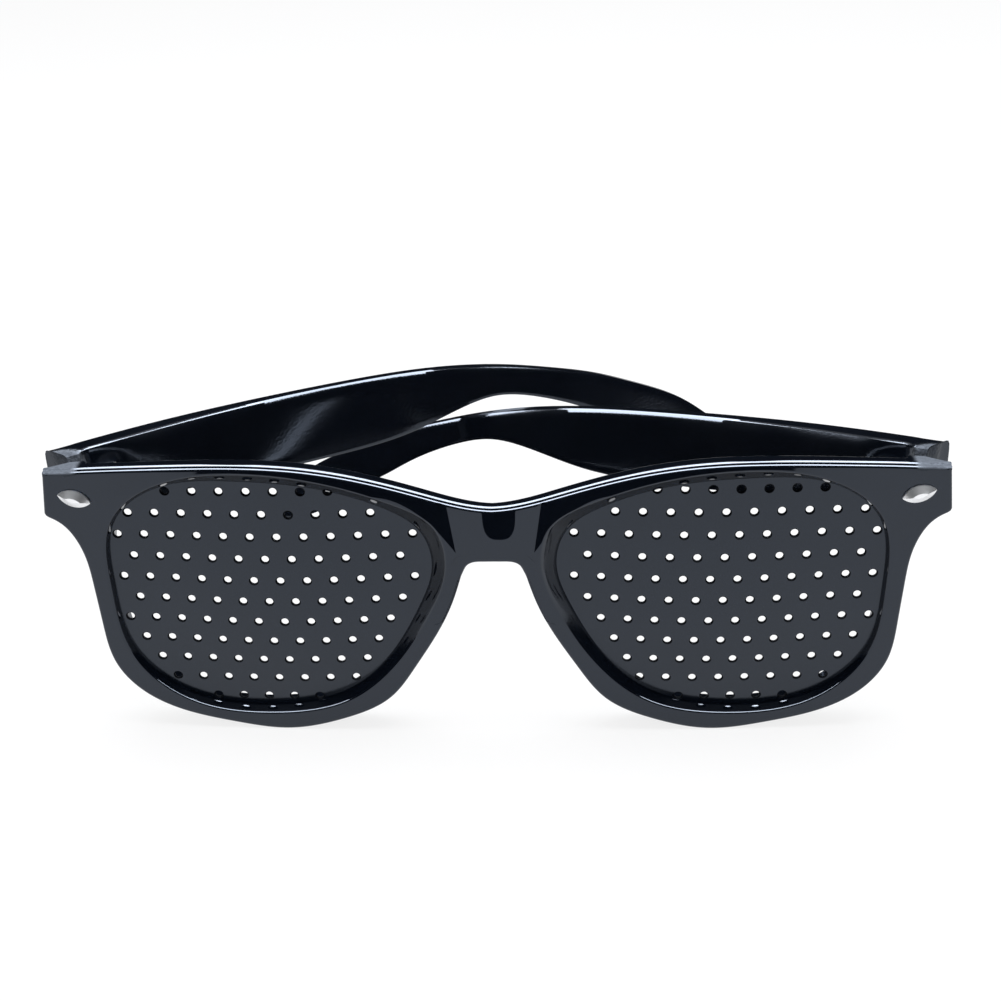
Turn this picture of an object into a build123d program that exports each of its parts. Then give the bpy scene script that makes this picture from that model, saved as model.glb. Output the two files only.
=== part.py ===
from build123d import *
import os
from math import ceil, cos, hypot, radians, sin, sqrt, tan

os.makedirs("parts", exist_ok=True)

# Pinhole glasses, half folded, standing on their rims. Millimetres, +Z up, the front faces -Y.
# The origin is on the floor, below the middle of the whole object's box. Left and right are as seen
# from in front, so left is -X.

# How far the modelling frame, with the middle of the lens plates' crowns at Y 0, lies from the origin
middle_x = -0.146
middle_y = 45.397
floor_z = 0.0

# Driving sizes of the front
front_half_width = 72.0
front_height = 49.6
front_bow_radius = 1100.0
front_face_y = -1.0
front_back_y = 5.0
brow_top_depth = 2.4
brow_back_slope = 38.0
outer_rim = 9.6
bridge_half_width = 10.1
brow_depth = 3.2
under_rim = 3.8
overrun = 2.0

# Driving sizes of the lens plates, each a shallow dome with its crown to the front
dome_radius = 112.5
dome_tilt = 1.68
lens_thickness = 1.0
crown_shift = 0.55
lens_half_width = (front_half_width - outer_rim - bridge_half_width) / 2
lens_half_height = (front_height - brow_depth - under_rim) / 2
lens_middle_x = bridge_half_width + lens_half_width
lens_centre_x = lens_middle_x + crown_shift
lens_centre_z = under_rim + lens_half_height
groove_depth = 0.8
lens_clearance = 0.1
back_lip = 1.1
rim_wall = 1.6
plate_edges = 48
bevel_width = 2.5
bevel_floor_y = 2.1

# Pinholes: rows are staggered by half a pitch, and the first hole of each row is counted in half
# pitches from the nose side of the lens
hole_radius = 0.75
hole_sides = 6
hole_pitch = 4.35
row_pitch = 3.9
row_counts = (7, 10, 12, 11, 12, 11, 11, 10, 9, 8, 6)
row_starts = (6, 3, 0, 1, 0, 1, 2, 3, 4, 5, 8)
middle_row = 5
middle_step = 11

# Driving sizes of the hinges
hinge_inset = 5.7
hinge_behind = 2.2
hinge_drop = 7.6
hinge_x = front_half_width - hinge_inset
hinge_y = front_back_y + hinge_behind
hinge_z = front_height - hinge_drop
hinge_lean = 1.2
barrel_radius = 1.3
screw_radius = 0.7
screw_fit = 0.05
screw_head_radius = 1.15
screw_head_height = 0.6
slot_width = 0.35
slot_depth = 0.3
knuckle_height = 1.7
knuckle_gap = 0.15
knuckle_count = 3
leaf_thickness = 0.9
leaf_inset = 0.8
leaf_fit = 0.05
front_leaf_length = 4.2
leaf_overlap = 0.4
temple_leaf_length = 4.4
joint_gap = 0.35

# Driving sizes of the temples
temple_length = 142.0
temple_top_drop = 1.2
temple_top_z = front_height - temple_top_drop
temple_height = 13.6
temple_root_thickness = 4.8
temple_root_length = 2.6
temple_thickness = 2.1
temple_outer_offset = 3.0
temple_face_offset = 1.0
temple_bow = 1.0
pad_margin = 0.8
mitre_rise = 2.2
root_reach = 4.0
left_droop = 2.2
right_droop = 4.6
left_fold = 54.0
right_fold = 60.0

# Driving sizes of the studs on the end pieces
stud_inset = 5.7
stud_drop = 5.7
stud_x = front_half_width - stud_inset
stud_z = front_height - stud_drop
stud_length = 5.4
stud_height = 2.8
stud_tilt = 15.0
stud_base = 0.35
stud_crown = 0.65
stud_slope = 58.0
stud_stem_radius = 0.6
stud_fit = 0.05

# Outline of the right half of the front, as shares of its half width and its height
brow_shares = (
    (0.0, 0.853), (0.149, 0.901), (0.317, 0.967), (0.444, 0.994), (0.625, 1.0), (0.792, 0.991), (0.9, 0.982),
    (0.988, 0.974),
)
brow_end_slope_share = 0.03
side_foot_share = (1.0, 0.826)
rim_shares = (
    (0.9965, 0.8135), (0.986, 0.804), (0.964, 0.784), (0.941, 0.742), (0.925, 0.685), (0.914, 0.56), (0.908, 0.403),
    (0.892, 0.252), (0.842, 0.147), (0.75, 0.068), (0.625, 0.022), (0.497, 0.0), (0.361, 0.044), (0.25, 0.131),
    (0.1875, 0.254), (0.133, 0.387), (0.0944, 0.508), (0.0736, 0.603),
)
arch_shares = ((0.0736, 0.603), (0.065, 0.629), (0.054, 0.652), (0.035, 0.6615), (0.0, 0.664))

# Outline of the lens opening, as shares of its half width and half height, from the nose side round
# over the top, with the share of the bevel's width that each point gets at the front face
lens_shares = (
    (-1.0, 0.25), (-0.93, 0.58), (-0.717, 0.77), (-0.32, 0.937), (0.193, 1.0), (0.66, 0.935), (0.93, 0.68),
    (1.0, 0.085), (0.93, -0.5), (0.62, -0.89), (0.086, -1.0), (-0.4, -0.87), (-0.72, -0.5), (-0.92, -0.06),
)
bevel_shares = (1.0, 1.3, 1.05, 0.85, 0.85, 0.4, 0.2, 0.16, 0.14, 0.16, 0.24, 0.32, 0.52, 0.8)

# Edges of the temple seen from its side: distance along it as a share of its length, and height as a
# share of its largest height, below or above its straight top line at the hinge
top_edge_shares = (
    (0.0, 0.0), (0.175, 0.035), (0.35, -0.03), (0.49, -0.19), (0.595, -0.42), (0.665, -0.63), (0.735, -0.87),
    (0.805, -1.18), (0.895, -1.63), (0.965, -2.0),
)
under_edge_shares = (
    (0.0, -0.78), (0.17, -0.93), (0.35, -1.03), (0.435, -0.965), (0.505, -0.79), (0.56, -0.72), (0.615, -0.84),
    (0.66, -1.02), (0.705, -1.25), (0.76, -1.58), (0.83, -1.97), (0.94, -2.49),
)

# Bow of the temple's faces and swell of its thickness towards the root, seen from above
bow_shares = ((0.0, 0.0), (0.08, 0.15), (0.25, 0.6), (0.5, 1.0), (0.75, 0.55), (1.0, -0.6))
swell_shares = (1.0, 0.9, 0.2, 0.0, 0.0, -0.05)
tip_share = -2.44

front_plane = Plane.XZ


def dome_centre(side):
    """Centre of the sphere that a lens plate's front belongs to."""
    return (
        side * (lens_centre_x - dome_radius * sin(radians(dome_tilt))),
        dome_radius * cos(radians(dome_tilt)),
        lens_centre_z,
    )


def front_y(x):
    """Y of the front's face at a distance x from the middle."""
    return front_face_y + front_bow_radius - sqrt(front_bow_radius**2 - x**2)


def lens_points(side, widths):
    """Outline points of a lens opening, each moved outwards by its own width."""
    points = []
    for (across, up), width in zip(lens_shares, widths):
        step = width / sqrt(across**2 + up**2)
        points.append((
            side * (lens_middle_x + across * (lens_half_width + step)),
            lens_centre_z + up * (lens_half_height + step),
        ))
    return points


def even_widths(width):
    """The same width for every point of the lens outline."""
    return [width] * len(lens_shares)


def make_lens_blank(side, growth, gap):
    """Domed plate without holes, grown past the opening, or with a gap the groove that holds it."""
    with BuildPart() as blank:
        with BuildSketch(front_plane.offset(-deepest_y())):
            with BuildLine():
                Spline(*lens_points(side, even_widths(growth)), periodic=True)
            make_face()
        extrude(amount=deepest_y() - front_face_y)
        with Locations(dome_centre(side)):
            Sphere(dome_radius + gap, mode=Mode.INTERSECT)
            Sphere(dome_radius - lens_thickness - gap, mode=Mode.SUBTRACT)
    return blank.part


def hole_places(side):
    """Middles of the pinholes, row by row, with every other row half a pitch across."""
    places = []
    for row, (count, start) in enumerate(zip(row_counts, row_starts)):
        for hole in range(count):
            across = (start + 2 * hole - middle_step) * hole_pitch / 2
            places.append((side * (lens_centre_x + across), lens_centre_z + (middle_row - row) * row_pitch))
    return places


def dome_depth(distance):
    """How far the dome falls back at a distance from its middle, measured across the view."""
    return dome_radius - sqrt(dome_radius**2 - distance**2)


def plate_depth(across, up):
    """Y of a plate's front, at places measured from the middle of its pinholes."""
    tilt_shift = dome_radius * sin(radians(dome_tilt))
    crown = dome_radius * cos(radians(dome_tilt)) - dome_radius
    return crown + dome_depth(across + tilt_shift) + dome_depth(up)


def deepest_y():
    """Y behind the deepest part of a rim, where its dome falls back most."""
    outline = lens_points(1, even_widths(rim_wall))
    depths = [plate_depth(x - lens_centre_x, z - lens_centre_z) for x, z in outline]
    return max(depths) + lens_thickness + back_lip + overrun


def hinge_plane(side):
    """Plane across a hinge pin, with its origin in the middle of the barrel and Z along the pin."""
    lean = radians(hinge_lean)
    return Plane(
        origin=(side * hinge_x, hinge_y, hinge_z), x_dir=(cos(lean), 0, sin(lean)), z_dir=(-sin(lean), 0, cos(lean))
    )


def stack_height():
    """Height of the whole hinge barrel, knuckles and the gaps between them."""
    return knuckle_count * knuckle_height + (knuckle_count - 1) * knuckle_gap


def rectangle_between(u0, v0, u1, v1):
    """Rectangle in the current sketch between two opposite corners."""
    with Locations(((u0 + u1) / 2, (v0 + v1) / 2)):
        Rectangle(abs(u1 - u0), abs(v1 - v0))


def stud_plane(side):
    """Plane on the front's face under a stud, turned so that the stud's outer end stands higher."""
    slope = stud_x / front_bow_radius
    tilt = side * radians(stud_tilt)
    along = (cos(slope) * cos(tilt), side * sin(slope) * cos(tilt), sin(tilt))
    return Plane(
        origin=(side * stud_x, front_y(stud_x), stud_z), x_dir=along, z_dir=(side * sin(slope), -cos(slope), 0)
    )


def brow_plane(side, depth):
    """Upright plane that follows the bow of one half of the brow, at a depth behind its narrow top."""
    reach = front_half_width * brow_shares[-2][0]
    fall = front_y(reach) - front_face_y
    return Plane(
        origin=(0, front_face_y + brow_top_depth + depth, 0), x_dir=(side * reach, fall, 0), z_dir=(fall, -side * reach, 0)
    )


def make_front(grooves):
    """Rims, bridge and end pieces in one moulding, with its face on a shallow bow."""
    with BuildPart() as front:
        with BuildSketch(front_plane.offset(-front_back_y)):
            with BuildLine():
                brow = [(front_half_width * x, front_height * z) for x, z in brow_shares]
                foot = (front_half_width * side_foot_share[0], front_height * side_foot_share[1])
                rim = [(front_half_width * x, front_height * z) for x, z in rim_shares]
                arch = [(front_half_width * x, front_height * z) for x, z in arch_shares]
                into_arch = (arch[0][0] - rim[-2][0], arch[0][1] - rim[-2][1])
                Spline(*brow, tangents=[(1, brow_end_slope_share), (1, -brow_end_slope_share)])
                Line(brow[-1], foot)
                Spline(foot, *rim)
                Spline(*arch, tangents=[into_arch, (-1, 0)])
                mirror(about=Plane.YZ)
            make_face()
        extrude(amount=front_back_y - front_face_y + overrun)
        # The face is the outside of a large cylinder that bows back towards the end pieces
        with BuildSketch(Plane.XY):
            with Locations((0, front_face_y + front_bow_radius)):
                Circle(front_bow_radius)
        extrude(amount=front_height, mode=Mode.INTERSECT)
        # Behind a narrow top the brow slopes down to the back, between the two end pieces
        for side in sides:
            for depth in (-overrun, front_back_y - front_face_y):
                edge = [(x, z - depth * tan(radians(brow_back_slope))) for x, z in brow[:-1]]
                above = front_height + 2 * overrun
                with BuildSketch(brow_plane(side, depth)):
                    with BuildLine():
                        Spline(*edge)
                        Polyline(edge[-1], (edge[-1][0], above), (0, above), edge[0])
                    make_face()
            loft(mode=Mode.SUBTRACT)
        bevel_widths = [bevel_width * share for share in bevel_shares]
        for side, groove in zip(sides, grooves):
            # Where the dome runs deeper than the front, the rim stands proud of its back
            with BuildSketch(front_plane.offset(-deepest_y())):
                with BuildLine():
                    Spline(*lens_points(side, even_widths(rim_wall)), periodic=True)
                make_face()
            extrude(amount=deepest_y() - front_back_y)
            # Each rim is hollowed behind its lens plate by a sphere, which leaves a lip behind the plate
            with Locations(dome_centre(side)):
                Sphere(dome_radius - lens_thickness - back_lip, mode=Mode.SUBTRACT)
            with BuildSketch(front_plane.offset(-deepest_y())):
                with BuildLine():
                    Spline(*lens_points(side, even_widths(0)), periodic=True)
                make_face()
            extrude(amount=deepest_y() - front_face_y + overrun, mode=Mode.SUBTRACT)
            # The bevel runs from a wider outline at the face down to the opening
            with BuildSketch(front_plane.offset(-bevel_floor_y)):
                with BuildLine():
                    Spline(*lens_points(side, even_widths(0)), periodic=True)
                make_face()
            with BuildSketch(front_plane.offset(-front_face_y)):
                with BuildLine():
                    Spline(*lens_points(side, bevel_widths), periodic=True)
                make_face()
            loft(mode=Mode.SUBTRACT)
            add(groove, mode=Mode.SUBTRACT)
            # The end piece is cut back in a mitre that the temple's root closes against when open
            with BuildSketch(Plane.XY):
                root = hinge_x + temple_face_offset
                past = root + 2 * temple_root_thickness
                with BuildLine():
                    Polyline(
                        (side * root, front_back_y),
                        (side * past, front_back_y - 2 * mitre_rise),
                        (side * past, front_back_y + overrun),
                        (side * root, front_back_y + overrun),
                        close=True,
                    )
                make_face()
            extrude(amount=front_height, mode=Mode.SUBTRACT)
            # Pocket for the hinge leaf and the hole for the stud's stem
            with BuildSketch(hinge_plane(side).offset(-stack_height() / 2 - leaf_fit)):
                rectangle_between(
                    -side * (front_leaf_length + leaf_fit),
                    front_back_y - leaf_inset - leaf_fit - hinge_y,
                    side * (leaf_overlap + leaf_fit),
                    front_back_y + overrun - hinge_y,
                )
            extrude(amount=stack_height() + 2 * leaf_fit, mode=Mode.SUBTRACT)
            with BuildSketch(stud_plane(side).offset(-stem_length())):
                Circle(stud_stem_radius + stud_fit)
            extrude(amount=stem_length() + overrun, mode=Mode.SUBTRACT)
    return front


def stem_length():
    """Length of a stud's stem, from the front's face to the hinge leaf."""
    return front_back_y - leaf_inset - leaf_fit - front_y(stud_x)


def make_lens_plate(side):
    """Dark domed plate with staggered rows of pinholes, made of flat facets that hold one pinhole each."""
    half_pitch = hole_pitch / 2
    reach = ceil((lens_half_width + groove_depth + crown_shift) / half_pitch)
    rows = ceil((lens_half_height + groove_depth) / row_pitch)
    levels = [(row + 1 / 2) * row_pitch for row in range(-rows - 1, rows + 1)]
    with BuildPart() as plate:
        for column in range(-reach, reach + 1):
            near = (column - 1 / 2) * half_pitch
            fall = plate_depth(near + half_pitch, 0) - plate_depth(near, 0)
            front = [(plate_depth(near, level), lens_centre_z + level) for level in levels]
            back = [(y + lens_thickness, z) for y, z in reversed(front)]
            with BuildSketch(Plane.YZ.offset(side * (lens_centre_x + near))):
                with BuildLine():
                    Polyline(*front, *back, close=True)
                make_face()
            extrude(amount=hypot(half_pitch, fall), dir=(side * half_pitch, fall, 0))
        with BuildSketch(front_plane.offset(-deepest_y())):
            with BuildLine():
                edge = Spline(*lens_points(side, even_widths(groove_depth)), periodic=True, mode=Mode.PRIVATE)
                Polyline(*[edge @ (step / plate_edges) for step in range(plate_edges)], close=True)
            make_face()
        extrude(amount=deepest_y() - front_face_y, mode=Mode.INTERSECT)
        with BuildSketch(front_plane.offset(-deepest_y())):
            with Locations(*hole_places(side)):
                RegularPolygon(hole_radius, hole_sides)
        extrude(amount=deepest_y() - front_face_y, mode=Mode.SUBTRACT)
    return plate


def make_front_leaf(side):
    """Hinge leaf let into the back of the end piece, with the top and bottom knuckles."""
    back = front_back_y - leaf_inset - hinge_y
    with BuildPart() as leaf:
        with BuildSketch(hinge_plane(side).offset(-stack_height() / 2)):
            rectangle_between(-side * front_leaf_length, back, side * leaf_overlap, back + leaf_thickness)
        extrude(amount=stack_height())
        for knuckle in range(0, knuckle_count, 2):
            level = -stack_height() / 2 + knuckle * (knuckle_height + knuckle_gap)
            with BuildSketch(hinge_plane(side).offset(level)):
                Circle(barrel_radius)
                rectangle_between(-side * barrel_radius, back, 0, 0)
            extrude(amount=knuckle_height)
        with BuildSketch(hinge_plane(side).offset(-stack_height() / 2)):
            Circle(screw_radius + screw_fit)
        extrude(amount=stack_height(), mode=Mode.SUBTRACT)
    return leaf


def make_temple_leaf(side):
    """Hinge leaf let into the temple's inner face, with the middle knuckle, as it lies when open."""
    inner = temple_face_offset + leaf_inset - leaf_thickness
    outer = temple_face_offset + leaf_inset
    start = barrel_radius + joint_gap
    with BuildPart() as leaf:
        with BuildSketch(hinge_plane(side).offset(-stack_height() / 2)):
            rectangle_between(side * inner, start, side * outer, start + temple_leaf_length)
        extrude(amount=stack_height())
        with BuildSketch(hinge_plane(side).offset(-knuckle_height / 2)):
            Circle(barrel_radius)
            rectangle_between(0, 0, side * outer, start + leaf_thickness)
        extrude(amount=knuckle_height)
        with BuildSketch(hinge_plane(side).offset(-knuckle_height)):
            Circle(screw_radius + screw_fit)
        extrude(amount=2 * knuckle_height, mode=Mode.SUBTRACT)
    return leaf


def make_screw(side):
    """Hinge screw, whose shank is the pin, with a slotted head on top of the barrel."""
    top = stack_height() / 2
    with BuildPart() as screw:
        with BuildSketch(hinge_plane(side).offset(-top)):
            Circle(screw_radius)
        extrude(amount=stack_height())
        with BuildSketch(hinge_plane(side).offset(top)):
            Circle(screw_head_radius)
        extrude(amount=screw_head_height)
        with BuildSketch(hinge_plane(side).offset(top + screw_head_height - slot_depth)):
            Rectangle(2 * screw_head_radius + overrun, slot_width)
        extrude(amount=overrun, mode=Mode.SUBTRACT)
    return screw


def mitre_outline(side, gap):
    """Corners of the wedge in front of a temple's root, as far behind the end piece as the gap."""
    root = hinge_x + temple_face_offset
    past = root + 2 * temple_root_thickness
    ahead = front_back_y - 2 * mitre_rise + gap
    before = hinge_x - temple_root_thickness
    return [
        (side * before, front_back_y + gap), (side * root, front_back_y + gap), (side * past, ahead),
        (side * past, -front_back_y), (side * before, -front_back_y),
    ]


def make_temple(side, droop):
    """Temple as it lies when open: a deep shank, a thin neck and a hook for the ear."""
    tilt = radians(droop)
    root = (side * (hinge_x + temple_face_offset), front_back_y, temple_top_z)
    side_plane = Plane(origin=root, x_dir=(0, cos(tilt), -sin(tilt)), z_dir=(1, 0, 0))
    plan_plane = Plane(origin=root, x_dir=(0, cos(tilt), -sin(tilt)), z_dir=(0, sin(tilt), cos(tilt)))
    top_edge = [(temple_length * s, temple_height * t) for s, t in top_edge_shares]
    under_edge = [(temple_length * s, temple_height * t) for s, t in under_edge_shares]
    inner = [
        (temple_root_length + (temple_length - temple_root_length) * s,
         -side * (temple_bow * n + temple_outer_offset - temple_thickness))
        for s, n in bow_shares
    ]
    swell = temple_root_thickness - temple_outer_offset
    outer = [
        (temple_length * s, -side * (temple_bow * n + temple_outer_offset + swell * m))
        for (s, n), m in zip(bow_shares, swell_shares)
    ]
    with BuildPart() as temple:
        with BuildSketch(side_plane):
            with BuildLine():
                over = Spline(*top_edge)
                under = Spline(*under_edge)
                tip = (temple_length, temple_height * tip_share)
                Spline(over @ 1, tip, under @ 1, tangents=[over % 1, -(under % 1)])
                Polyline(over @ 0, (-root_reach, 0), (-root_reach, (under @ 0).Y), under @ 0)
            make_face()
        extrude(amount=temple_root_thickness + overrun, both=True)
        with BuildSketch(plan_plane):
            with BuildLine():
                Spline(*inner)
                Spline(*outer)
                Line(inner[-1], outer[-1])
                Polyline(inner[0], (temple_root_length, 0), (-root_reach, 0), (-root_reach, outer[0][1]), outer[0])
            make_face()
        extrude(amount=temple_length, both=True, mode=Mode.INTERSECT)
        # A pad on the inner face carries the hinge leaf
        with BuildSketch(hinge_plane(side).offset(-stack_height() / 2 - pad_margin)):
            rectangle_between(
                side * temple_face_offset, 0,
                side * (temple_face_offset + temple_outer_offset),
                barrel_radius + joint_gap + temple_leaf_length + pad_margin,
            )
        extrude(amount=stack_height() + 2 * pad_margin)
        # The root ends in a mitre that closes against the end piece when the temple is open
        with BuildSketch(Plane.XY):
            with BuildLine():
                Polyline(*mitre_outline(side, joint_gap), close=True)
            make_face()
        extrude(amount=front_height + overrun, mode=Mode.SUBTRACT)
        # Pocket for the hinge leaf, and room for the barrel and the screw's head
        with BuildSketch(hinge_plane(side).offset(-stack_height() / 2 - leaf_fit)):
            rectangle_between(
                0, 0, side * (temple_face_offset + leaf_inset + leaf_fit),
                barrel_radius + joint_gap + temple_leaf_length + leaf_fit,
            )
        extrude(amount=stack_height() + 2 * leaf_fit, mode=Mode.SUBTRACT)
        with BuildSketch(hinge_plane(side).offset(-stack_height() / 2 - joint_gap)):
            Circle(barrel_radius + joint_gap)
        extrude(amount=stack_height() + screw_head_height + 2 * joint_gap, mode=Mode.SUBTRACT)
    return temple


def make_stud(side):
    """Leaf-shaped metal stud with a raised crown, and a stem that runs through to the hinge leaf."""
    with BuildPart() as stud:
        with BuildSketch(stud_plane(side)):
            with BuildLine():
                ThreePointArc((-stud_length / 2, 0), (0, stud_height / 2), (stud_length / 2, 0))
                ThreePointArc((-stud_length / 2, 0), (0, -stud_height / 2), (stud_length / 2, 0))
            make_face()
        extrude(amount=stud_base)
        top = stud.faces().sort_by(Axis.Y)[0]
        extrude(top, amount=stud_crown, taper=stud_slope)
        with BuildSketch(stud_plane(side).offset(-stem_length())):
            Circle(stud_stem_radius)
        extrude(amount=stem_length())
    return stud


def swing(piece, side, angle):
    """Turn a finished piece about its hinge pin, from open to folded inwards."""
    place = hinge_plane(side)
    return piece.rotate(Axis(place.origin, place.z_dir), side * angle)


def save(piece, name):
    """Set a piece round the origin, label it and write it as its own file."""
    placed = piece.moved(Location((-middle_x, -middle_y, -floor_z)))
    placed.label = name
    export_step(placed, f"parts/{name}.step")
    return placed


sides = (-1, 1)
names = ("left", "right")
folds = (left_fold, right_fold)
droops = (left_droop, right_droop)
grooves = [make_lens_blank(side, groove_depth + lens_clearance, lens_clearance) for side in sides]
save(make_front(grooves).part, "front_frame")
for side, name, fold, droop in zip(sides, names, folds, droops):
    save(make_lens_plate(side).part, f"{name}_lens_plate")
    save(make_stud(side).part, f"{name}_stud")
    save(make_front_leaf(side).part, f"{name}_front_hinge_leaf")
    save(make_screw(side).part, f"{name}_hinge_screw")
    save(swing(make_temple(side, droop).part, side, fold), f"{name}_temple")
    save(swing(make_temple_leaf(side).part, side, fold), f"{name}_temple_hinge_leaf")
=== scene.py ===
# %% [markdown]
# # Pinhole glasses
# The glasses stand on their rims with both temples part folded, so that the temples cross behind the
# front. The solids come from the CAD model and stay where they are. This script dresses them. Glossy dark
# plastic shows every ripple and every edge, so the mouldings and the plates get finer surfaces here, with
# rounded edges that catch the light. The hinge parts keep their CAD solids and get a metal finish.

# %% Load the CAD model as a fixed frame
import math

import bmesh
import bpy
import numpy as np
from mathutils import Matrix, Vector


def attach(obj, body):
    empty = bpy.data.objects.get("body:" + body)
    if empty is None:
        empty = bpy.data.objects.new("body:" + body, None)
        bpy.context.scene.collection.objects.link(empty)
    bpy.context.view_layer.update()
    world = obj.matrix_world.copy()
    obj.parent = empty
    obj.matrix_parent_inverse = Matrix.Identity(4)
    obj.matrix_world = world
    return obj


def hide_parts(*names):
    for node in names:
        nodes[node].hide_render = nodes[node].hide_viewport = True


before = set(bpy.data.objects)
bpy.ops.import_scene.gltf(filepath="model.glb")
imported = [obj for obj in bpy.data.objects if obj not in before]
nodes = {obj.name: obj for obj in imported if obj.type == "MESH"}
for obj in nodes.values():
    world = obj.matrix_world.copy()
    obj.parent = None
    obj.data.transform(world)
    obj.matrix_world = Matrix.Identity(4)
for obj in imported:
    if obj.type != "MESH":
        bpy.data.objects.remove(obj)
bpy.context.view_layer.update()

# %% [markdown]
# The sizes below repeat the CAD model's. The shapes are worked out in millimetres in the frame that the
# model was drawn in, with Y 0 at the crowns of the lens plates. The stored model is centred on its own
# box, so every point is moved by the same offset and turned into metres when it becomes a mesh.

# %% Sizes that the scene shares with the CAD model
MM = 0.001
offset = np.array([0.146, -45.397, 0.0])
front_half_width, front_height = 72.0, 49.6
front_face_y, front_back_y, front_bow_radius = -1.0, 5.0, 1100.0
brow_top_depth, brow_back_slope = 2.4, math.tan(math.radians(38.0))
dome_radius, dome_tilt, lens_thickness, back_lip = 112.5, math.radians(1.68), 1.0, 1.1
lens_middle_x, lens_centre_x, lens_centre_z = 36.25, 36.8, 25.1
lens_half_width, lens_half_height = 26.15, 21.3
groove_depth, bevel_width, rim_wall, border_depth, plate_step = 0.8, 2.5, 1.6, 2.2, 0.1
mitre_start_x, mitre_rise, mitre_run = 67.3, 2.2, 9.6
crease_x, crease_z, crease_lean = 5.95, 34.0, 0.14
dome_x = lens_centre_x - dome_radius * math.sin(dome_tilt)
dome_y = dome_radius * math.cos(dome_tilt)

brow_shares = np.array([
    (0.0, 0.853), (0.149, 0.901), (0.317, 0.967), (0.444, 0.994), (0.625, 1.0), (0.792, 0.991), (0.9, 0.982),
    (0.988, 0.974),
])
foot_share = (1.0, 0.826)
rim_shares = np.array([
    foot_share, (0.9965, 0.8135), (0.986, 0.804), (0.964, 0.784), (0.941, 0.742), (0.925, 0.685), (0.914, 0.56),
    (0.908, 0.403), (0.892, 0.252), (0.842, 0.147), (0.75, 0.068), (0.625, 0.022), (0.497, 0.0), (0.361, 0.044),
    (0.25, 0.131), (0.1875, 0.254), (0.133, 0.387), (0.0944, 0.508), (0.0736, 0.603),
])
arch_shares = np.array([
    (0.0736, 0.603), (0.0665, 0.629), (0.058, 0.6505), (0.044, 0.6615), (0.024, 0.6638), (0.0, 0.664),
])
lens_shares = np.array([
    (-1.0, 0.25), (-0.93, 0.58), (-0.717, 0.77), (-0.32, 0.937), (0.193, 1.0), (0.66, 0.935), (0.93, 0.68),
    (1.0, 0.085), (0.93, -0.5), (0.62, -0.89), (0.086, -1.0), (-0.4, -0.87), (-0.72, -0.5), (-0.92, -0.06),
])
bevel_shares = np.array([1.0, 1.3, 1.05, 0.85, 0.85, 0.4, 0.2, 0.16, 0.14, 0.16, 0.24, 0.32, 0.52, 0.8])

# %% [markdown]
# The camera was solved from the grid of pinholes: it stands 234 mm off, 28 degrees above the table and
# 3 degrees to the right of straight ahead, and it is turned a little about its own axis.

# %% Camera at the photograph's angle
camera_distance = 233.9 * MM
camera_azimuth = math.radians(2.84)
camera_elevation = math.radians(27.82)
camera_roll = math.radians(-1.66)
camera_target = (np.array([1.43, 0.0, 43.59]) + offset) * MM
camera_focal_length, camera_sensor = 53.84, 36.0
camera_near, camera_far = 0.01, 20.0


def new_object(name, data):
    """New object that shows its data, linked to the scene."""
    made = bpy.data.objects.new(name, data)
    bpy.context.scene.collection.objects.link(made)
    return made


def look_from(target, distance, azimuth, elevation, roll):
    """Matrix of a camera that looks at a target. Its back axis is (sin a cos e, -cos a cos e, sin e), its
    right axis is level before the roll, and the roll turns right and up about the back axis."""
    back = np.array([
        math.sin(azimuth) * math.cos(elevation), -math.cos(azimuth) * math.cos(elevation), math.sin(elevation),
    ])
    right = np.array([math.cos(azimuth), math.sin(azimuth), 0.0])
    up = np.cross(back, right)
    matrix = np.eye(4)
    matrix[:3, 0] = right * math.cos(roll) + up * math.sin(roll)
    matrix[:3, 1] = -right * math.sin(roll) + up * math.cos(roll)
    matrix[:3, 2] = back
    matrix[:3, 3] = target + back * distance
    return matrix


camera_data = bpy.data.cameras.new("camera")
camera_data.sensor_width = camera_sensor
camera_data.lens = camera_focal_length
camera_data.clip_start, camera_data.clip_end = camera_near, camera_far
camera = new_object("camera", camera_data)
camera.matrix_world = Matrix(
    look_from(camera_target, camera_distance, camera_azimuth, camera_elevation, camera_roll).tolist()
)
bpy.context.scene.camera = camera
print("camera at", [round(v, 3) for v in camera.matrix_world.translation])

# %% [markdown]
# ## Curves and meshes
# Every outline is a smooth curve through a few chosen points, as in the CAD model. A cubic spline gives
# it: on each stretch the curve is a cubic whose second derivatives agree at the points, and the parameter
# grows with the straight distance between them.

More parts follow.
